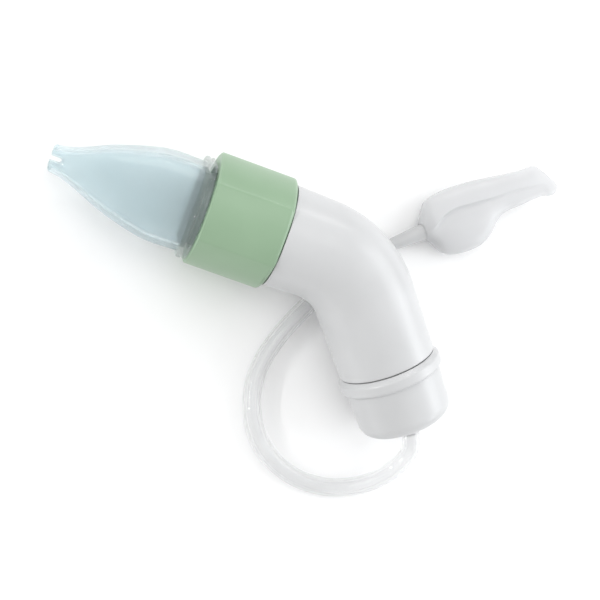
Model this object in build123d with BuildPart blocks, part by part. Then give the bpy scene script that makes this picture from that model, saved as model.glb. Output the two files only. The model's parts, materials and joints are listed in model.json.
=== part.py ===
from build123d import *
import os
from math import cos, pi, radians, sin, tan

os.makedirs("parts", exist_ok=True)

# A nasal aspirator lying on a flat surface: a bent hollow handle with a nostril tip held on by a
# screwed ring nut, a pull-off cap with a filter in it, a soft hose from the cap's end, looped under
# the handle's bend, and a mouthpiece. Millimetres, +Z up, surface at z = 0, nostril tip towards -X.
# "Along" is the distance from the bend's corner, measured down either arm of the handle.

# How the handle lies: it rests on its nut and on its cap, and the hose props up the bend.
CORNER = (28.2, 9.6, 22.45)
LEAN_ABOUT_X = 16.5
LEAN_ABOUT_Y = -13.0
NOZZLE_TURN = 164.2
LEG_TURN = -65.5
BEND = NOZZLE_TURN - LEG_TURN - 180

# Handle
BEND_RADIUS = 25.0
BEND_TUBE_RADIUS = 15.1
SHOULDER_RADIUS = 15.5
SHOULDER_ALONG = 23.1
NECK_RADIUS = 14.0
NECK_END = 41.8
BORE_RADIUS = 12.4
LEG_END_RADIUS = 14.75
LEG_END = 33.2
SPIGOT_RADIUS = 12.7
SPIGOT_BORE_RADIUS = 10.9
SPIGOT_END = 42.2
BORE_END = 32.0
TANGENT = BEND_RADIUS * tan(radians(BEND / 2))

# Screw thread between neck and nut
THREAD_PITCH = 3.0
THREAD_HALF_ROOT = 0.6
THREAD_HALF_CREST = 0.35
MALE_CREST_RADIUS = 14.6
FEMALE_CREST_RADIUS = 14.15
MALE_THREAD_START = 31.0
MALE_THREAD_TURNS = 2.5
FEMALE_THREAD_START = MALE_THREAD_START + THREAD_PITCH / 2
FEMALE_THREAD_TURNS = 2.0

# Ring nut: six gently convex faces
NUT_REAR = 23.25
NUT_LENGTH = 23.95
NUT_FRONT = NUT_REAR + NUT_LENGTH
NUT_CORNER_RADIUS = 17.1
NUT_FACE_RADIUS = 16.3
NUT_FIRST_CORNER = -37.5
NUT_BORE_RADIUS = 14.85
NUT_LIP_RADIUS = 13.0
NUT_LIP_THICKNESS = 2.5
NUT_CORNER_ROUND = 2.5
NUT_REAR_ROUND = 1.5
NUT_FRONT_BEVEL = 0.5

# Nostril tip: a clear, flattened duckbill on a round collar. The soft bill leans a little from the
# nozzle's axis, towards the leg's side.
BILL_LEAN = 0.8
SEAL_THICKNESS = 1.0
FLANGE_REAR = 43.0
FLANGE_RADIUS = 14.5
FLANGE_THICKNESS = 1.4
GROOVE_RADIUS = 12.7
COLLAR_REAR = 47.5
COLLAR_FRONT = 50.5
COLLAR_RADIUS = 16.0
THROAT_RADIUS = 11.2
COLLAR_FACE = 1.6
WALL = 1.5
# Along, half the width, half the thickness and corner radius of each section of the duckbill
BILL = [
    (COLLAR_FRONT - 0.5, 12.8, 8.8, 3.2),
    (60.5, 12.9, 8.3, 3.2),
    (69.5, 11.1, 7.3, 3.0),
    (77.5, 8.6, 6.0, 2.8),
    (85.5, 5.5, 4.7, 2.7),
    (93.0, 3.95, 3.3, 2.4),
]
BILL_TIP = BILL[-1][0]
NOTCH_WIDTH = 2.4
NOTCH_DEPTH = 3.5

# Cap
CAP_TOP = 33.5
BEAD_RADIUS = 15.8
BEAD_BOTTOM = 38.4
BEVEL = 1.3
CAP_TOP_RADIUS = 14.6
CAP_END_RADIUS = 14.15
CAP_END = 53.5
CAP_FLOOR = 50.4
CAP_BORE_RADIUS = 12.9
CAP_ROUND = 4.4

# Seals, filter and hose connector
RING_ALONG = 38.0
RING_SECTION_RADIUS = 0.6
RING_RADIUS = 12.2
RING_GROOVE_RADIUS = 11.55
RING_GROOVE_WIDTH = 1.6
GRID_TOP = 42.5
GRID_THICKNESS = 1.4
GRID_HOLE_RADIUS = 1.3
GRID_HOLE_RINGS = [(4.0, 6), (8.6, 12)]
FILTER_TOP = GRID_TOP + GRID_THICKNESS
FILTER_THICKNESS = 4.8
FILTER_RADIUS = 12.7
FLANGE_TOP = 48.9
CONNECTOR_FLANGE_RADIUS = 5.5
CONNECTOR_SHANK_RADIUS = 3.2
CONNECTOR_END = 54.2
NIPPLE_RADIUS = 1.7
CONNECTOR_NIPPLE_LENGTH = 3.2
STEM_NIPPLE_LENGTH = 4.5
NIPPLE_BORE_RADIUS = 1.0

# Hose: its route lies on the surface, one hose radius up, once it has come down from the cap
HOSE_RADIUS = 2.75
HOSE_BORE_RADIUS = 1.75
HOSE_RUN_SHARE = 0.45
HOSE_FIRST_RUN = 6.5
HOSE_LAST_RUN = 11.0
HOSE_POINTS = [
    (49.8, -51.0, 8.5),
    (44.5, -55.6, 5.0),
    (36.5, -58.3, 3.0),
    (26.5, -58.3, 2.75),
    (15.5, -54.5, 2.75),
    (7.0, -46.5, 2.75),
    (3.5, -36.0, 2.75),
    (4.5, -24.0, 2.75),
    (11.5, -12.8, 2.75),
    (23.0, -1.5, 2.75),
]
HOSE_END = (47.75, 15.45, 3.55)

# Mouthpiece: its axis starts where the hose ends
MOUTH_HEADING = 22.0
MOUTH_CLIMB = 4.0
STEM_LENGTH = 12.0
STEM_TIP_RADIUS = 1.8
STEM_ROOT_RADIUS = 2.65
# Along the axis from the stem's root: how far left, how far right and half the thickness
PADDLE = [
    (0.0, 3.4, -2.7, 3.0),
    (4.0, 8.5, -8.5, 4.2),
    (11.0, 9.7, -10.8, 4.7),
    (17.0, 9.5, -10.4, 4.3),
    (23.5, 8.7, -6.8, 3.6),
    (29.0, 7.8, -3.8, 3.0),
    (37.0, 6.6, -3.5, 2.5),
    (50.0, 6.2, -3.4, 2.2),
]
PADDLE_WALL = 1.1
MOUTH_CUT_ALONG = 45.5
MOUTH_CUT_ANGLE = 26.0

handle_plane = Plane(Location(CORNER, (LEAN_ABOUT_X, LEAN_ABOUT_Y, 0)))


def arm(turn):
    """Profile plane of an arm: x runs down the arm from the corner, y across it."""
    towards = handle_plane.from_local_coords((cos(radians(turn)), sin(radians(turn)), 0))
    return Plane(handle_plane.origin, x_dir=towards - handle_plane.origin, z_dir=handle_plane.z_dir)


def section(profile_plane, along):
    """Plane square to a profile plane's x axis: x across, y towards the profile plane's normal."""
    origin = profile_plane.from_local_coords((along, 0, 0))
    return Plane(origin, x_dir=profile_plane.y_dir, z_dir=profile_plane.x_dir)


def outline(profile_plane, points, rounds=()):
    """Closed outline of (along, radius) points, with a radius given for some of its corners."""
    with BuildSketch(profile_plane) as sketch:
        with BuildLine():
            Polyline(*points, close=True)
        make_face()
        for corner, radius in rounds:
            fillet(sketch.vertices().sort_by_distance((*corner, 0))[0], radius)
    return sketch.sketch


def thread(start, turns, root_radius, crest_radius):
    """A helical ridge on the nozzle arm, sunk a little into the wall that it stands on."""
    base = section(nozzle_arm, start)
    sunk = -0.3 if crest_radius > root_radius else 0.3
    height = crest_radius - root_radius
    with BuildPart() as ridge:
        with BuildLine() as coil:
            Helix(THREAD_PITCH, THREAD_PITCH * turns, root_radius, base.origin, base.z_dir)
        start_point = coil.line @ 0
        with BuildSketch(Plane(start_point, x_dir=start_point - base.origin, z_dir=coil.line % 0)):
            with BuildLine():
                Polyline(
                    (sunk, -THREAD_HALF_ROOT),
                    (height, -THREAD_HALF_CREST),
                    (height, THREAD_HALF_CREST),
                    (sunk, THREAD_HALF_ROOT),
                    close=True,
                )
            make_face()
        sweep(is_frenet=True)
    return ridge.part


nozzle_arm = arm(NOZZLE_TURN)
bill_arm = arm(NOZZLE_TURN + BILL_LEAN)
leg_arm = arm(LEG_TURN)
nozzle_axis = Axis(nozzle_arm.origin, nozzle_arm.x_dir)
leg_axis = Axis(leg_arm.origin, leg_arm.x_dir)

# --- Handle: a bent tube with a threaded neck at one end and a plug-in spigot at the other ---
with BuildPart() as elbow:
    revolve(
        outline(
            nozzle_arm,
            [
                (TANGENT, 0),
                (TANGENT, BEND_TUBE_RADIUS),
                (SHOULDER_ALONG, SHOULDER_RADIUS),
                (SHOULDER_ALONG, NECK_RADIUS),
                (NECK_END, NECK_RADIUS),
                (NECK_END, 0),
            ],
            [((SHOULDER_ALONG, SHOULDER_RADIUS), 0.2), ((NECK_END, NECK_RADIUS), 0.4)],
        ),
        nozzle_axis,
    )
    ring_front = RING_ALONG - RING_GROOVE_WIDTH / 2
    ring_back = RING_ALONG + RING_GROOVE_WIDTH / 2
    revolve(
        outline(
            leg_arm,
            [
                (TANGENT, 0),
                (TANGENT, BEND_TUBE_RADIUS),
                (LEG_END, LEG_END_RADIUS),
                (LEG_END, SPIGOT_RADIUS),
                (ring_front, SPIGOT_RADIUS),
                (ring_front, RING_GROOVE_RADIUS),
                (ring_back, RING_GROOVE_RADIUS),
                (ring_back, SPIGOT_RADIUS),
                (SPIGOT_END, SPIGOT_RADIUS),
                (SPIGOT_END, 0),
            ],
            [((LEG_END, LEG_END_RADIUS), 0.5), ((SPIGOT_END, SPIGOT_RADIUS), 0.4)],
        ),
        leg_axis,
    )
    with BuildLine(handle_plane, mode=Mode.PRIVATE) as bore_route:
        FilletPolyline(
            (NECK_END * cos(radians(NOZZLE_TURN)), NECK_END * sin(radians(NOZZLE_TURN))),
            (0, 0),
            (BORE_END * cos(radians(LEG_TURN)), BORE_END * sin(radians(LEG_TURN))),
            radius=BEND_RADIUS,
        )
    with BuildSketch(section(nozzle_arm, TANGENT)):
        Circle(BEND_TUBE_RADIUS)
    sweep(path=bore_route.line.edges().filter_by(GeomType.CIRCLE)[0])
    add(thread(MALE_THREAD_START, MALE_THREAD_TURNS, NECK_RADIUS, MALE_CREST_RADIUS))
    with BuildSketch(section(nozzle_arm, NECK_END)):
        Circle(BORE_RADIUS)
    sweep(path=bore_route.line, mode=Mode.SUBTRACT)
    with BuildSketch(section(leg_arm, BORE_END - 0.5)):
        Circle(SPIGOT_BORE_RADIUS)
    extrude(amount=SPIGOT_END - BORE_END + 1, mode=Mode.SUBTRACT)

# --- Flat sealing ring on the end of the neck ---
with BuildPart() as neck_seal:
    with BuildSketch(section(nozzle_arm, NECK_END)):
        Circle(NECK_RADIUS - 0.3)
        Circle(BORE_RADIUS, mode=Mode.SUBTRACT)
    extrude(amount=SEAL_THICKNESS)

# --- Nostril tip: rear flange, groove for the nut's lip, round collar, then the duckbill ---
with BuildPart() as nostril_tip:
    for along, half_width, half_thickness, corner in BILL:
        with BuildSketch(section(bill_arm, along)):
            RectangleRounded(2 * half_width, 2 * half_thickness, corner)
    loft()
    revolve(
        outline(
            nozzle_arm,
            [
                (FLANGE_REAR, 0),
                (FLANGE_REAR, FLANGE_RADIUS),
                (FLANGE_REAR + FLANGE_THICKNESS, FLANGE_RADIUS),
                (FLANGE_REAR + FLANGE_THICKNESS, GROOVE_RADIUS),
                (COLLAR_REAR, GROOVE_RADIUS),
                (COLLAR_REAR, COLLAR_RADIUS),
                (COLLAR_FRONT, COLLAR_RADIUS),
                (COLLAR_FRONT, 0),
            ],
            [((COLLAR_REAR, COLLAR_RADIUS), 0.4), ((COLLAR_FRONT, COLLAR_RADIUS), 1.2)],
        ),
        nozzle_axis,
    )
    with BuildSketch(section(nozzle_arm, FLANGE_REAR)):
        Circle(THROAT_RADIUS)
    extrude(amount=COLLAR_FRONT - COLLAR_FACE - FLANGE_REAR, mode=Mode.SUBTRACT)
    for along, half_width, half_thickness, corner in BILL:
        overrun = {BILL[0][0]: -COLLAR_FACE, BILL_TIP: 0.5}.get(along, 0)
        with BuildSketch(section(bill_arm, along + overrun)):
            RectangleRounded(2 * (half_width - WALL), 2 * (half_thickness - WALL), corner - WALL)
    loft(mode=Mode.SUBTRACT)
    with BuildSketch(bill_arm):
        with Locations((BILL_TIP, 0)):
            SlotOverall(2 * NOTCH_DEPTH, NOTCH_WIDTH)
    extrude(amount=10, both=True, mode=Mode.SUBTRACT)

# --- Ring nut ---
with BuildPart() as ring_nut:
    with BuildSketch(section(nozzle_arm, NUT_REAR)):
        with BuildLine():
            for face in range(6):
                angles = [NUT_FIRST_CORNER + 60 * face + step for step in (0, 30, 60)]
                radii = (NUT_CORNER_RADIUS, NUT_FACE_RADIUS, NUT_CORNER_RADIUS)
                # Measured from the plane's y direction, which faces away from the surface
                ThreePointArc(
                    *[(r * sin(radians(a)), r * cos(radians(a))) for r, a in zip(radii, angles)]
                )
        make_face()
    extrude(amount=NUT_LENGTH)
    along_nut = ring_nut.faces().sort_by(nozzle_axis)
    fillet(ring_nut.edges() - along_nut[0].edges() - along_nut[-1].edges(), NUT_CORNER_ROUND)
    fillet(ring_nut.faces().sort_by(nozzle_axis)[0].edges(), NUT_REAR_ROUND)
    chamfer(ring_nut.faces().sort_by(nozzle_axis)[-1].edges(), NUT_FRONT_BEVEL)
    revolve(
        outline(
            nozzle_arm,
            [
                (NUT_REAR - 1, 0),
                (NUT_REAR - 1, NUT_BORE_RADIUS),
                (NUT_FRONT - NUT_LIP_THICKNESS, NUT_BORE_RADIUS),
                (NUT_FRONT - NUT_LIP_THICKNESS, NUT_LIP_RADIUS),
                (NUT_FRONT + 1, NUT_LIP_RADIUS),
                (NUT_FRONT + 1, 0),
            ],
        ),
        nozzle_axis,
        mode=Mode.SUBTRACT,
    )
    add(thread(FEMALE_THREAD_START, FEMALE_THREAD_TURNS, NUT_BORE_RADIUS, FEMALE_CREST_RADIUS))

# --- Cap: a cup whose bead is the pull rim, with a hole for the hose connector in its floor ---
with BuildPart() as end_cap:
    revolve(
        outline(
            leg_arm,
            [
                (CAP_TOP, CAP_BORE_RADIUS),
                (CAP_TOP, BEAD_RADIUS - BEVEL),
                (CAP_TOP + BEVEL, BEAD_RADIUS),
                (BEAD_BOTTOM - 0.9, BEAD_RADIUS),
                (BEAD_BOTTOM, CAP_TOP_RADIUS),
                (CAP_END, CAP_END_RADIUS),
                (CAP_END, CONNECTOR_SHANK_RADIUS),
                (CAP_FLOOR, CONNECTOR_SHANK_RADIUS),
                (CAP_FLOOR, CAP_BORE_RADIUS),
            ],
            [
                ((CAP_TOP + BEVEL, BEAD_RADIUS), 0.8),
                ((BEAD_BOTTOM - 0.9, BEAD_RADIUS), 0.9),
                ((CAP_END, CAP_END_RADIUS), CAP_ROUND),
                ((CAP_FLOOR, CAP_BORE_RADIUS), 1.5),
            ],
        ),
        leg_axis,
    )

# --- Rubber ring in the spigot's groove ---
with BuildPart() as spigot_ring:
    with BuildSketch(leg_arm):
        with Locations((RING_ALONG, RING_RADIUS)):
            Circle(RING_SECTION_RADIUS)
    revolve(axis=leg_axis)

# --- Perforated grid that keeps the filter foam down in the cap ---
with BuildPart() as filter_grid:
    with BuildSketch(section(leg_arm, GRID_TOP)):
        Circle(FILTER_RADIUS)
        Circle(GRID_HOLE_RADIUS, mode=Mode.SUBTRACT)
        for ring_radius, holes in GRID_HOLE_RINGS:
            with PolarLocations(ring_radius, holes):
                Circle(GRID_HOLE_RADIUS, mode=Mode.SUBTRACT)
    extrude(amount=GRID_THICKNESS)

with BuildPart() as filter_foam:
    with BuildSketch(section(leg_arm, FILTER_TOP)):
        Circle(FILTER_RADIUS)
    extrude(amount=FILTER_THICKNESS)

# --- Hose connector: flange inside the cap, shank through its floor, nipple in the hose ---
with BuildPart() as hose_connector:
    revolve(
        outline(
            leg_arm,
            [
                (FLANGE_TOP, NIPPLE_BORE_RADIUS),
                (FLANGE_TOP, CONNECTOR_FLANGE_RADIUS),
                (CAP_FLOOR, CONNECTOR_FLANGE_RADIUS),
                (CAP_FLOOR, CONNECTOR_SHANK_RADIUS),
                (CONNECTOR_END, CONNECTOR_SHANK_RADIUS),
                (CONNECTOR_END, NIPPLE_RADIUS),
                (CONNECTOR_END + CONNECTOR_NIPPLE_LENGTH, NIPPLE_RADIUS),
                (CONNECTOR_END + CONNECTOR_NIPPLE_LENGTH, NIPPLE_BORE_RADIUS),
            ],
            [((CONNECTOR_END, CONNECTOR_SHANK_RADIUS), 0.5)],
        ),
        leg_axis,
    )

# --- Hose: straight runs joined by arcs as large as their two runs allow; its first run is in
# line with the cap and its last one with the mouthpiece ---
heading = radians(MOUTH_HEADING)
climb = radians(MOUTH_CLIMB)
mouth_direction = Vector(cos(heading) * cos(climb), sin(heading) * cos(climb), sin(climb))
mouth_left = Vector(-sin(heading), cos(heading), 0)
mouth_arm = Plane(HOSE_END, x_dir=mouth_direction, z_dir=mouth_direction.cross(mouth_left))
mouth_axis = Axis(mouth_arm.origin, mouth_arm.x_dir)
hose_start = leg_arm.from_local_coords((CONNECTOR_END, 0, 0))
hose_route = [
    hose_start,
    leg_arm.from_local_coords((CONNECTOR_END + HOSE_FIRST_RUN, 0, 0)),
    *[Vector(*point) for point in HOSE_POINTS],
    mouth_arm.from_local_coords((-HOSE_LAST_RUN, 0, 0)),
    mouth_arm.origin,
]
hose_runs = [end - start for start, end in zip(hose_route, hose_route[1:])]
hose_arcs = [
    HOSE_RUN_SHARE * min(before.length, after.length) / tan(radians(before.get_angle(after) / 2))
    for before, after in zip(hose_runs, hose_runs[1:])
]
with BuildPart() as hose:
    with BuildLine(mode=Mode.PRIVATE) as hose_path:
        FilletPolyline(*hose_route, radius=hose_arcs)
    with BuildSketch(Plane(hose_start, z_dir=hose_runs[0])):
        Circle(HOSE_RADIUS)
        Circle(HOSE_BORE_RADIUS, mode=Mode.SUBTRACT)
    sweep(path=hose_path.line)
hose_length = sum(edge.length for edge in hose_path.line.edges())
hose_section = pi * (HOSE_RADIUS**2 - HOSE_BORE_RADIUS**2)
print("hose radii", [round(radius, 1) for radius in hose_arcs])
print("hose runs", [round(run.length, 1) for run in hose_runs])
print("hose length", round(hose_length, 1), "volume ratio", hose.part.volume / (hose_section * hose_length))

# --- Mouthpiece: a tapered stem, plugged into the hose, and a hollow flattened paddle ---
with BuildPart() as mouthpiece_stem:
    revolve(
        outline(
            mouth_arm,
            [
                (-STEM_NIPPLE_LENGTH, NIPPLE_BORE_RADIUS),
                (-STEM_NIPPLE_LENGTH, NIPPLE_RADIUS),
                (0, NIPPLE_RADIUS),
                (0, STEM_TIP_RADIUS),
                (STEM_LENGTH, STEM_ROOT_RADIUS),
                (STEM_LENGTH, NIPPLE_BORE_RADIUS),
            ],
        ),
        mouth_axis,
    )

with BuildPart() as mouthpiece:
    for along, left, right, half_thickness in PADDLE:
        with BuildSketch(section(mouth_arm, STEM_LENGTH + along)):
            with Locations(((left + right) / 2, 0)):
                Ellipse((left - right) / 2, half_thickness)
    loft()
    for along, left, right, half_thickness in PADDLE:
        overrun = {PADDLE[0][0]: PADDLE_WALL, PADDLE[-1][0]: 0.5}.get(along, 0)
        with BuildSketch(section(mouth_arm, STEM_LENGTH + along + overrun)):
            with Locations(((left + right) / 2, 0)):
                Ellipse((left - right) / 2 - PADDLE_WALL, half_thickness - PADDLE_WALL)
    loft(mode=Mode.SUBTRACT)
    with BuildSketch(section(mouth_arm, STEM_LENGTH - 0.5)):
        Circle(NIPPLE_BORE_RADIUS)
    extrude(amount=3, mode=Mode.SUBTRACT)
    cut_origin = mouth_arm.from_local_coords((STEM_LENGTH + MOUTH_CUT_ALONG, 0, 0))
    cut_direction = mouth_direction.rotate(Axis(cut_origin, mouth_arm.z_dir), MOUTH_CUT_ANGLE)
    split(bisect_by=Plane(cut_origin, z_dir=cut_direction), keep=Keep.BOTTOM)

pieces = {
    "elbow": elbow,
    "neck_seal": neck_seal,
    "nostril_tip": nostril_tip,
    "ring_nut": ring_nut,
    "end_cap": end_cap,
    "spigot_ring": spigot_ring,
    "filter_grid": filter_grid,
    "filter_foam": filter_foam,
    "hose_connector": hose_connector,
    "hose": hose,
    "mouthpiece_stem": mouthpiece_stem,
    "mouthpiece": mouthpiece,
}
for name, piece in pieces.items():
    piece.part.label = name
    export_step(piece.part, f"parts/{name}.step")
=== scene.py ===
import json
from math import cos, exp, pi, radians, sin, sqrt

import bmesh
import bpy
from mathutils import Matrix, Vector


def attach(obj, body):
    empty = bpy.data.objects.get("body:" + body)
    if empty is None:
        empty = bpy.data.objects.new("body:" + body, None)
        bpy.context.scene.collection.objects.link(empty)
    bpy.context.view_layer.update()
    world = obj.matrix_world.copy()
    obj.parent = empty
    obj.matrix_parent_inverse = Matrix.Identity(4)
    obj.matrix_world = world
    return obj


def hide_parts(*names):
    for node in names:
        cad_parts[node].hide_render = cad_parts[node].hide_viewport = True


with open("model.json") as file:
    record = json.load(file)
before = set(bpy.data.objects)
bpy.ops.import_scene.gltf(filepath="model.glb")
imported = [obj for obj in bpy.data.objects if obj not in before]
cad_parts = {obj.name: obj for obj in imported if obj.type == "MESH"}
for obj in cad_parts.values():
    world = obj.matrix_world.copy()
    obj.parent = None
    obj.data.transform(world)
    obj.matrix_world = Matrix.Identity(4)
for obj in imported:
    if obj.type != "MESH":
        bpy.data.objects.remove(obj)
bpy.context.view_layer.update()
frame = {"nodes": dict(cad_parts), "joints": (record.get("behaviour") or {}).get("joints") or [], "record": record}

# The arms of the object, read from the joints and mounts that run along them. Metres throughout.
joints = {joint["name"]: joint for joint in frame["joints"]}
nozzle_axis = Vector(joints["tip_lift"]["axis"]).normalized()
leg_axis = -Vector(joints["handle_pull"]["axis"]).normalized()
mouth_axis = Vector(joints["mouthpiece_pull"]["axis"]).normalized()
# How far the ring nut's rear face is from the corner where the handle's two arms meet
NUT_REAR = 0.02325
corner = Vector(joints["nut_spin"]["pos_m"]) - nozzle_axis * NUT_REAR
handle_up = nozzle_axis.cross(leg_axis).normalized()
mounts = {mount["name"]: mount for mount in frame["record"]["mounts"]}
bill_axis = Vector(mounts["nostril_end"]["axis"]).normalized()

STEM_LENGTH = 0.012
PADDLE_LENGTH = 0.0455
hose_end = Vector(mounts["mouth_end"]["pos_m"]) - mouth_axis * (STEM_LENGTH + PADDLE_LENGTH)


class Arm:
    """A straight line with its own frame: along it, across it in its plane, and up from its plane."""

    def __init__(self, origin, along, up):
        self.origin = origin
        self.along = along
        self.up = up
        self.across = up.cross(along).normalized()

    def at(self, along, across=0.0, up=0.0):
        return self.origin + self.along * along + self.across * across + self.up * up


nozzle_arm = Arm(corner, nozzle_axis, handle_up)
bill_arm = Arm(corner, bill_axis, handle_up)
mouth_left = Vector((0, 0, 1)).cross(mouth_axis).normalized()
mouth_arm = Arm(hose_end, mouth_axis, mouth_axis.cross(mouth_left).normalized())


# --- Materials -------------------------------------------------------------------------------
def shader(name, **values):
    """A material whose Principled sockets are set by name."""
    material = bpy.data.materials.new(name)
    material.use_nodes = True
    principled = material.node_tree.nodes["Principled BSDF"]
    for socket, value in values.items():
        principled.inputs[socket.replace("_", " ")].default_value = value
    return material, material.node_tree, principled


def plastic(name, dark, light, roughness, bump=0.02, scale=900.0, **values):
    """Moulded plastic: a faint colour drift, uneven gloss and a fine moulded texture."""
    material, tree, principled = shader(name, **values)
    place = tree.nodes.new("ShaderNodeTexCoord")
    drift = tree.nodes.new("ShaderNodeTexNoise")
    drift.inputs["Scale"].default_value = 60.0
    drift.inputs["Detail"].default_value = 3.0
    colours = tree.nodes.new("ShaderNodeValToRGB")
    colours.color_ramp.elements[0].position = 0.35
    colours.color_ramp.elements[0].color = (*dark, 1)
    colours.color_ramp.elements[1].position = 0.65
    colours.color_ramp.elements[1].color = (*light, 1)
    gloss = tree.nodes.new("ShaderNodeMapRange")
    gloss.inputs["To Min"].default_value = roughness * 0.85
    gloss.inputs["To Max"].default_value = roughness * 1.15
    grain = tree.nodes.new("ShaderNodeTexNoise")
    grain.inputs["Scale"].default_value = scale
    grain.inputs["Detail"].default_value = 2.0
    relief = tree.nodes.new("ShaderNodeBump")
    relief.inputs["Strength"].default_value = bump
    relief.inputs["Distance"].default_value = 0.0002
    link = tree.links.new
    link(place.outputs["Object"], drift.inputs["Vector"])
    link(place.outputs["Object"], grain.inputs["Vector"])
    link(drift.outputs["Fac"], colours.inputs["Fac"])
    link(drift.outputs["Fac"], gloss.inputs["Value"])
    link(colours.outputs["Color"], principled.inputs["Base Color"])
    link(gloss.outputs["Result"], principled.inputs["Roughness"])
    link(grain.outputs["Fac"], relief.inputs["Height"])
    link(relief.outputs["Normal"], principled.inputs["Normal"])
    return material


WHITE = plastic("handle_white", (0.54, 0.545, 0.55), (0.565, 0.57, 0.575), 0.30)
GREEN = plastic("nut_green", (0.245, 0.365, 0.24), (0.26, 0.385, 0.255), 0.30, bump=0.05)
CLEAR_BLUE = plastic(
    "tip_clear_blue",
    (0.70, 0.82, 0.85),
    (0.73, 0.845, 0.875),
    0.05,
    Transmission_Weight=0.65,
    IOR=1.35,
    Specular_IOR_Level=1.0,
    Alpha=0.6,
)
# The collar's glass is darker and greener than the bill's: partly its own glassy tint, partly painted shade of the
# bore seen through it.
COLLAR = plastic(
    "tip_collar_tint_and_painted_shade",
    (0.46, 0.55, 0.53),
    (0.54, 0.63, 0.61),
    0.04,
    Transmission_Weight=0.5,
    IOR=1.5,
    Specular_IOR_Level=1.0,
    Alpha=0.4,
)
# Painted shade: the inside wall of the tip's bore is clear plastic, coloured near black to stand for the shade
# inside the bore.
THROAT_PAINTED_SHADE = plastic("tip_throat_painted_shade", (0.11, 0.145, 0.135), (0.13, 0.165, 0.155), 0.3)
HOSE = plastic(
    "hose_clear",
    (0.86, 0.865, 0.87),
    (0.91, 0.915, 0.92),
    0.05,
    Transmission_Weight=0.4,
    IOR=1.4,
    Specular_IOR_Level=1.0,
    Alpha=0.42,
)
SOFT = plastic(
    "mouthpiece_soft",
    (0.745, 0.75, 0.76),
    (0.77, 0.775, 0.785),
    0.2,
    Transmission_Weight=0.1,
    IOR=1.4,
    Alpha=0.68,
)
STEM = plastic("stem_white", (0.58, 0.585, 0.59), (0.63, 0.635, 0.64), 0.2, Transmission_Weight=0.2)
SEAL = plastic("seal_rubber", (0.45, 0.46, 0.46), (0.50, 0.51, 0.51), 0.6)
FOAM = plastic("filter_foam", (0.70, 0.70, 0.64), (0.80, 0.80, 0.74), 0.95, bump=0.8, scale=1500.0)


def finish_node(name, material):
    """Give a CAD node its finished material."""
    node = frame["nodes"][name]
    node.data.materials.clear()
    node.data.materials.append(material)


for name, material in {
    "elbow": WHITE,
    "end_cap": WHITE,
    "ring_nut": GREEN,
    "neck_seal": SEAL,
    "spigot_ring": SEAL,
    "filter_grid": WHITE,
    "filter_foam": FOAM,
    "hose_connector": STEM,
    "mouthpiece_stem": STEM,
}.items():
    finish_node(name, material)


# --- Camera: looks down from the tip's side ---------------------------------------------------
CAMERA_LENS = 120.0
CAMERA_SENSOR = 36.0
CAMERA_AT = Vector((-0.18641, -0.02064, 0.57151))
LOOK = Vector((0.3397, 0.0317, -0.94)).normalized()

camera_data = bpy.data.cameras.new("camera")
camera_data.lens = CAMERA_LENS
camera_data.sensor_width = CAMERA_SENSOR
camera = bpy.data.objects.new("camera", camera_data)
bpy.context.scene.collection.objects.link(camera)
right = LOOK.cross(Vector((0, 1, 0))).normalized()
up = right.cross(LOOK)
camera.matrix_world = Matrix.Translation(CAMERA_AT) @ Matrix((right, up, -LOOK)).transposed().to_4x4()
bpy.context.scene.camera = camera

# --- Hose route: the points of part.py's route, on one smooth spline -----------------------------
HOSE_DIAMETER = 0.0055
HOSE_BORE = 0.0035
HOSE_ROUTE = [
    (0.0501, -0.0391, 0.0133),
    (0.0527, -0.0450, 0.0122),
    (0.0498, -0.0510, 0.0085),
    (0.0445, -0.0556, 0.0050),
    (0.0365, -0.0583, 0.0030),
    (0.0265, -0.0583, 0.00275),
    (0.0155, -0.0545, 0.00275),
    (0.0070, -0.0465, 0.00275),
    (0.0035, -0.0360, 0.00275),
    (0.0045, -0.0240, 0.00275),
    (0.0115, -0.0128, 0.00275),
    (0.0230, -0.0015, 0.00275),
    (0.0376, 0.0113, 0.0028),
    (0.04775, 0.01545, 0.00355),
]
hose_curve = bpy.data.curves.new("hose_route", "CURVE")
hose_curve.dimensions = "3D"
hose_curve.resolution_u = 16
spline = hose_curve.splines.new("NURBS")
spline.points.add(len(HOSE_ROUTE) - 1)
for point, place in zip(spline.points, HOSE_ROUTE):
    point.co = (*place, 1)
spline.order_u = 3
spline.use_endpoint_u = True
hose_guide = bpy.data.objects.new("hose_route", hose_curve)
hose_line = bpy.data.meshes.new_from_object(hose_guide)
hose_path = [vertex.co.copy() for vertex in hose_line.vertices]
bpy.data.objects.remove(hose_guide)
bpy.data.meshes.remove(hose_line)

# --- Mesh helpers -----------------------------------------------------------------------------
def eased(stations, along):
    """The values at a distance, on a smooth curve through (distance, value, value, ...) stations."""
    low = max(0, min(len(stations) - 2, sum(1 for station in stations[1:] if station[0] <= along)))
    before, after = stations[max(0, low - 1)], stations[min(len(stations) - 1, low + 2)]
    start, end = stations[low], stations[low + 1]
    gap = end[0] - start[0]
    share = min(1.0, max(0.0, (along - start[0]) / gap))
    values = []
    for column in range(1, len(start)):
        slope_in = (end[column] - before[column]) / (end[0] - before[0]) * gap
        slope_out = (after[column] - start[column]) / (after[0] - start[0]) * gap
        two, three = share**2, share**3
        values.append(
            (2 * three - 3 * two + 1) * start[column]
            + (three - 2 * two + share) * slope_in
            + (3 * two - 2 * three) * end[column]
            + (three - two) * slope_out
        )
    return values


def spread(count, low=0.0, high=1.0):
    """Evenly spaced values from low to high, both included."""
    return [low + (high - low) * step / (count - 1) for step in range(count)]


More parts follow.
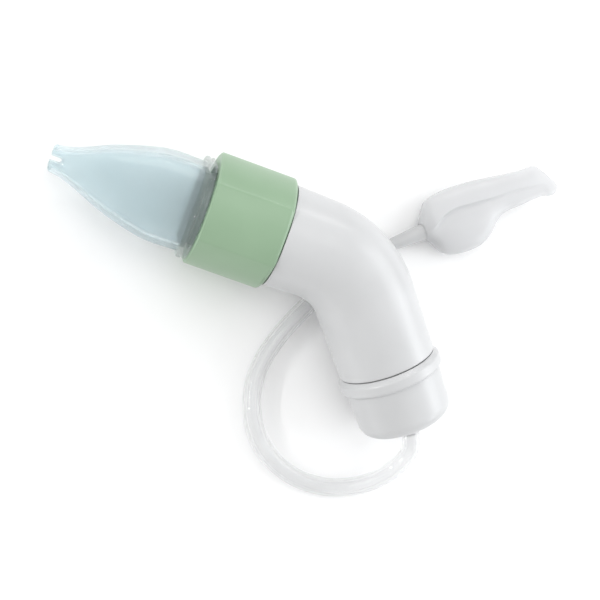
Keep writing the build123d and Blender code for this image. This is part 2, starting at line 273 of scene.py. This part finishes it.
def skin(name, rings, materials, material_of=None, looped=False):
    """A mesh over rings of points, closed by joining its ends (looped) or by a face over each end.

    material_of gives the material index of each band between two rings.
    """
    count = len(rings[0])
    mesh = bpy.data.meshes.new(name)
    vertices = [point for ring in rings for point in ring]
    faces = []
    bands = []
    for band in range(len(rings) if looped else len(rings) - 1):
        following = (band + 1) % len(rings)
        for column in range(count):
            beside = (column + 1) % count
            faces.append(
                (
                    band * count + column,
                    band * count + beside,
                    following * count + beside,
                    following * count + column,
                )
            )
            bands.append(band)
    mesh.from_pydata(vertices, [], faces)
    shell = bmesh.new()
    shell.from_mesh(mesh)
    if not looped:
        shell.verts.ensure_lookup_table()
        first = [shell.verts[column] for column in range(count)]
        last = [shell.verts[(len(rings) - 1) * count + column] for column in range(count)]
        shell.faces.new(first[::-1])
        shell.faces.new(last)
    bmesh.ops.recalc_face_normals(shell, faces=shell.faces)
    shell.to_mesh(mesh)
    shell.free()
    for material in materials:
        mesh.materials.append(material)
    for polygon in mesh.polygons:
        polygon.use_smooth = True
        if material_of and polygon.index < len(bands):
            polygon.material_index = material_of(bands[polygon.index])
    item = bpy.data.objects.new(name, mesh)
    bpy.context.scene.collection.objects.link(item)
    return item


def crease(item, degrees_sharp=35.0):
    """Keep edges sharper than an angle crisp while the rest shades smoothly."""
    shell = bmesh.new()
    shell.from_mesh(item.data)
    for edge in shell.edges:
        if len(edge.link_faces) == 2 and edge.calc_face_angle(0) > radians(degrees_sharp):
            edge.smooth = False
    shell.to_mesh(item.data)
    shell.free()


# --- Hose: a clear tube with its bore, round the route's smooth line ----------------------------
HOSE_COLUMNS = 40


def tube_rings(path, radius):
    """Circles round a path, each turned as little as possible from the one before it."""
    rings = []
    side = Vector((0, 0, 1))
    for index, place in enumerate(path):
        heading = (path[min(index + 1, len(path) - 1)] - path[max(index - 1, 0)]).normalized()
        side = (side - heading * side.dot(heading)).normalized()
        other = heading.cross(side)
        turns = [2 * pi * column / HOSE_COLUMNS for column in range(HOSE_COLUMNS)]
        rings.append([place + (side * cos(turn) + other * sin(turn)) * radius for turn in turns])
    return rings


hose_outside = tube_rings(hose_path, HOSE_DIAMETER / 2)
hose_inside = tube_rings(hose_path, HOSE_BORE / 2)
hose = skin("hose_tube", hose_outside + hose_inside[::-1], [HOSE], looped=True)
crease(hose)
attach(hose, "cap")
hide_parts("hose")

# --- Nostril tip: flange, groove, collar and a flattened bill with a notched end ----------------
# Distances along the tip are from the corner where the handle's two arms meet
COLLAR_REAR = 0.0475
COLLAR_FACE = 0.0016
BILL_BASE = 0.0505
BILL_END = 0.0930
BILL_WALL = 0.0013
THROAT_RADIUS = 0.0112
NOTCH_FROM = 0.0875
NOTCH_HALF = 0.0014
NOTCH_DEPTH = 0.0035
PRONG_ROUND = 0.0012
LIP_BULGE = 0.0002
# Along, half the width, half the thickness, how wide the bevelled rim is
BILL_SECTIONS = [
    (0.0500, 0.01280, 0.00880, 0.0036),
    (0.0605, 0.01290, 0.00830, 0.0036),
    (0.0695, 0.01110, 0.00730, 0.0034),
    (0.0775, 0.00860, 0.00600, 0.0028),
    (0.0849, 0.00556, 0.00440, 0.0020),
    (0.0889, 0.00446, 0.00340, 0.0015),
    (0.0930, 0.00395, 0.00260, 0.0012),
]
# Where the points lie along each flat face, crowded where the notch's side and bottom run
FLAT_STEPS = [0.85, 0.7, 0.58, 0.515, 0.505, 0.46, 0.38, 0.26, 0.13]
FLAT_COLUMNS = [*FLAT_STEPS, 0.0, *[-step for step in reversed(FLAT_STEPS)]]
# Points beside each corner, towards the corner before or after it, that keep its edge narrow
SOFTENING = [(-1, 0.00032), (-1, 0.00012), (1, 0.00012), (1, 0.00032)]


def bill_outline(half_width, half_thickness, rim):
    """Points (across, up) round the bill: sides, two bevels at each corner, and flat faces."""
    bevel = [
        (half_width, half_thickness - 0.75 * rim),
        (half_width - 0.5 * rim, half_thickness - 0.2 * rim),
        (half_width - rim, half_thickness),
    ]
    corners = [Vector(corner) for corner in bevel]
    corners += [Vector((-across, up)) for across, up in reversed(bevel)]
    corners += [Vector((-across, -up)) for across, up in bevel]
    corners += [Vector((across, -up)) for across, up in reversed(bevel)]
    points = []
    for index, corner in enumerate(corners):
        for side, reach in SOFTENING:
            beside = corners[(index + side) % len(corners)]
            points.append(corner + (beside - corner).normalized() * reach)
        if index in (2, 8):
            up = corner.y
            points += [Vector((corner.x * step, up)) for step in FLAT_COLUMNS]
    return points


def notch(across):
    """How far short of the bill's end the wall stops, at a distance from the middle."""
    offset = abs(across)
    if offset < NOTCH_HALF:
        return NOTCH_DEPTH - NOTCH_HALF + sqrt(NOTCH_HALF**2 - offset**2)
    edge = BILL_SECTIONS[-1][1] - PRONG_ROUND
    if offset > edge:
        return PRONG_ROUND - sqrt(max(0.0, PRONG_ROUND**2 - (offset - edge) ** 2))
    return 0.0


END_OUTLINE = bill_outline(*BILL_SECTIONS[-1][1:])


def bill_ring(along, inset=0.0, beyond=0.0):
    """One ring of the bill: inset is the wall's depth, and beyond pushes the ring past the end."""
    half_width, half_thickness, rim = eased(BILL_SECTIONS, along)
    outline = bill_outline(half_width - inset, half_thickness - inset, max(rim - 0.6 * inset, 0.0010))
    share = max(0.0, (along - NOTCH_FROM) / (BILL_END - NOTCH_FROM))
    ring = []
    for (across, up), (end_across, _) in zip(outline, END_OUTLINE):
        ring.append(bill_arm.at(along - share * notch(end_across) + beyond, across, up))
    return ring


def round_ring(along, radius):
    """A circle whose points match the bill's rings, one for one."""
    arm = nozzle_arm if along < COLLAR_REAR else bill_arm
    ring = []
    for across, up in bill_outline(*BILL_SECTIONS[0][1:]):
        size = sqrt(across**2 + up**2)
        ring.append(arm.at(along, across / size * radius, up / size * radius))
    return ring


# Along, radius
FLANGE = [(0.0430, THROAT_RADIUS), (0.0430, 0.0144), (0.0431, 0.0145), (0.0443, 0.0145), (0.0444, 0.0144)]
GROOVE = [(0.0444, 0.0127), (0.0474, 0.0127)]
REAR_BEAD = [(COLLAR_REAR, 0.0155), (0.04765, 0.01575), (0.0480, 0.01585), (0.0484, 0.01575)]
DIP = [(0.0486, 0.01545), (0.0488, 0.01545)]
FRONT_BEAD = [(0.0490, 0.01575), (0.0493, 0.01585), (0.0499, 0.01585), (0.0502, 0.0157)]
SHOULDER = [(0.0504, 0.0156), (BILL_BASE, 0.0152)]
COLLAR_PROFILE = [*FLANGE, *GROOVE, *REAR_BEAD, *DIP, *FRONT_BEAD, *SHOULDER]
BILL_ROWS = spread(40, BILL_BASE, NOTCH_FROM) + spread(12, NOTCH_FROM, BILL_END)[1:]
LIP_DEPTHS = (0.0003, 0.0008, 0.0012)
THROAT_FLOOR = BILL_BASE - COLLAR_FACE
# The last bands, round the throat's inside wall, take the painted shade.
THROAT_BANDS = 3

tip_rings = [round_ring(along, radius) for along, radius in COLLAR_PROFILE]
tip_rings += [bill_ring(along) for along in BILL_ROWS]
for depth in LIP_DEPTHS:
    tip_rings.append(bill_ring(BILL_END, depth, LIP_BULGE * sin(pi * depth / BILL_WALL)))
tip_rings += [bill_ring(along, BILL_WALL) for along in reversed(BILL_ROWS)]
tip_rings.append(bill_ring(THROAT_FLOOR, BILL_WALL))
tip_rings.append(round_ring(THROAT_FLOOR - 0.0001, THROAT_RADIUS))


def tip_material(band):
    """The bill is clear blue (0). The collar is darker and greener, partly its own tint and partly painted shade
    (1). The throat inside it is painted dark as the shade of the bore (2).
    """
    if band < len(COLLAR_PROFILE):
        return 1
    return 2 if band >= len(tip_rings) - THROAT_BANDS else 0


tip = skin("nostril_tip_clear", tip_rings, [CLEAR_BLUE, COLLAR, THROAT_PAINTED_SHADE], tip_material, looped=True)
crease(tip)
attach(tip, "tip")
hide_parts("nostril_tip")

# --- Mouthpiece: a flattened hollow paddle with a crease, narrowing to a slotted beak ------------
# Along, how far left, how far right, half the thickness, where the crease runs, how deep it is
PADDLE_SECTIONS = [
    (0.0000, 0.0034, -0.0027, 0.0030, -0.0004, 0.0),
    (0.0012, 0.0052, -0.0041, 0.0034, -0.0002, 0.0),
    (0.0025, 0.0072, -0.0066, 0.0038, 0.0002, 0.0003),
    (0.0040, 0.0086, -0.0086, 0.0042, 0.0010, 0.0007),
    (0.0075, 0.0095, -0.0102, 0.0045, 0.0029, 0.0012),
    (0.0115, 0.0097, -0.0108, 0.00455, 0.0036, 0.0012),
    (0.0165, 0.0095, -0.0105, 0.0043, 0.0031, 0.0011),
    (0.0205, 0.0091, -0.0087, 0.0040, 0.0027, 0.0010),
    (0.0240, 0.0086, -0.0056, 0.0036, 0.0023, 0.0009),
    (0.0280, 0.0079, -0.0039, 0.0031, 0.0020, 0.0006),
    (0.0330, 0.0071, -0.0038, 0.0027, 0.0016, 0.0005),
    (0.0380, 0.0065, -0.0036, 0.0024, 0.0008, 0.0003),
    (0.0405, 0.0066, -0.0036, 0.0023, 0.0004, 0.0002),
    (0.0422, 0.0063, -0.0039, 0.0022, 0.0002, 0.0001),
    (0.0436, 0.0062, -0.0045, 0.0022, 0.0001, 0.0),
    (0.0480, 0.0062, -0.0046, 0.0022, 0.0001, 0.0),
]
# The crease drops over the ramp, then comes back up over the return
CREASE_RAMP = 0.0010
CREASE_RETURN = 0.0032
# How full a section is: 2 gives an ellipse
FULLNESS = 2.2
# Points round a section, crowded at its crease and at its edges
CROWDED = [(1 - cos(pi * share)) / 2 for share in spread(22)]
PADDLE_STEPS = CROWDED[::-1] + [-step for step in CROWDED[1:]]
PADDLE_COLUMNS = [(step, 1) for step in PADDLE_STEPS] + [(step, -1) for step in PADDLE_STEPS[-2:0:-1]]
# The beak's slanted end: how far along it reaches, for each distance across
BEAK_END = [
    (-0.0046, 0.0444),
    (-0.0044, 0.0451),
    (-0.0037, 0.0458),
    (-0.0029, 0.0462),
    (-0.0019, 0.0464),
    (0.0018, 0.0445),
    (0.0053, 0.0425),
    (0.0059, 0.0420),
    (0.0062, 0.0413),
]
RIM_DEPTHS = (0.0002, 0.0006, 0.0009)
SLOT_WALL = 0.0011
SLOT_FROM = 0.999
SLOT_TO = 0.07


def paddle_ring(share, inset=0.0):
    """One ring of the paddle: share of the way to its slanted end, and the depth into its wall."""
    end_left, end_right, _, end_line, _ = PADDLE_SECTIONS[-1][1:]
    ring = []
    for step, side in PADDLE_COLUMNS:
        end_across = end_line + abs(step) * ((end_left if step > 0 else end_right) - end_line)
        along = share * eased(BEAK_END, end_across)[0]
        left, right, half_thickness, line, depth = eased(PADDLE_SECTIONS, along)
        left, right, half_thickness = left - inset, right + inset, half_thickness - inset
        across = line + abs(step) * ((left if step > 0 else right) - line)
        reach = min(1.0, abs(across - (left + right) / 2) / ((left - right) / 2))
        height = side * half_thickness * sqrt(1 - reach**FULLNESS)
        beyond = line - across
        if side > 0 and beyond > 0:
            ramp = min(1.0, beyond / CREASE_RAMP)
            fade = max(0.0, beyond - CREASE_RAMP) / CREASE_RETURN
            height -= depth * ramp**2 * (3 - 2 * ramp) * exp(-(fade**2)) * (1 - reach**4)
        ring.append(mouth_arm.at(STEM_LENGTH + along, across, height))
    return ring


paddle_rings = [paddle_ring(share) for share in spread(90)]
paddle_rings += [paddle_ring(1.0, depth) for depth in RIM_DEPTHS]
paddle_rings += [paddle_ring(share, SLOT_WALL) for share in spread(60, SLOT_FROM, SLOT_TO)]
paddle = skin("mouthpiece_paddle", paddle_rings, [SOFT])
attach(paddle, "mouth")
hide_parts("mouthpiece")

# --- Floor and light --------------------------------------------------------------------------
FLOOR = 3.0
WORLD_STRENGTH = 0.72

floor_mesh = bpy.data.meshes.new("floor")
floor_corners = [(-FLOOR, -FLOOR, 0), (FLOOR, -FLOOR, 0), (FLOOR, FLOOR, 0), (-FLOOR, FLOOR, 0)]
floor_mesh.from_pydata(floor_corners, [], [(0, 1, 2, 3)])
floor = bpy.data.objects.new("floor", floor_mesh)
bpy.context.scene.collection.objects.link(floor)
floor_mesh.materials.append(plastic("floor_white", (0.93, 0.93, 0.93), (0.94, 0.94, 0.94), 0.9, bump=0.0))

world = bpy.data.worlds.new("studio")
world.use_nodes = True
world.node_tree.nodes["Background"].inputs["Color"].default_value = (1, 1, 1, 1)
world.node_tree.nodes["Background"].inputs["Strength"].default_value = WORLD_STRENGTH
bpy.context.scene.world = world


def lamp(name, place, aim, size, power, colour=(1, 1, 1)):
    """A soft box: size is its width and height, and its width runs level."""
    data = bpy.data.lights.new(name, "AREA")
    data.shape = "RECTANGLE"
    data.size, data.size_y = size
    data.energy = power
    data.color = colour
    item = bpy.data.objects.new(name, data)
    bpy.context.scene.collection.objects.link(item)
    item.location = place
    item.rotation_euler = (Vector(aim) - Vector(place)).to_track_quat("-Z", "Y").to_euler()


COOL = (0.96, 0.98, 1.0)
lamp("right", (0.62, 0.12, 0.45), (0, 0, 0), (0.5, 0.4), 1.6, COOL)
lamp("right_low", (0.60, -0.15, 0.20), (0, 0, 0), (0.5, 0.3), 1.4, COOL)
lamp("above", (-0.10, 0.30, 0.90), (0, 0, 0), (0.6, 0.6), 1.4)
lamp("strip_behind", (0.15, 0.65, 0.40), (0, 0, 0), (0.6, 0.02), 1.0)
lamp("strip_left", (-0.60, 0.05, 0.36), (0, 0, 0), (0.5, 0.02), 1.9)

bpy.context.scene.view_settings.view_transform = "Standard"
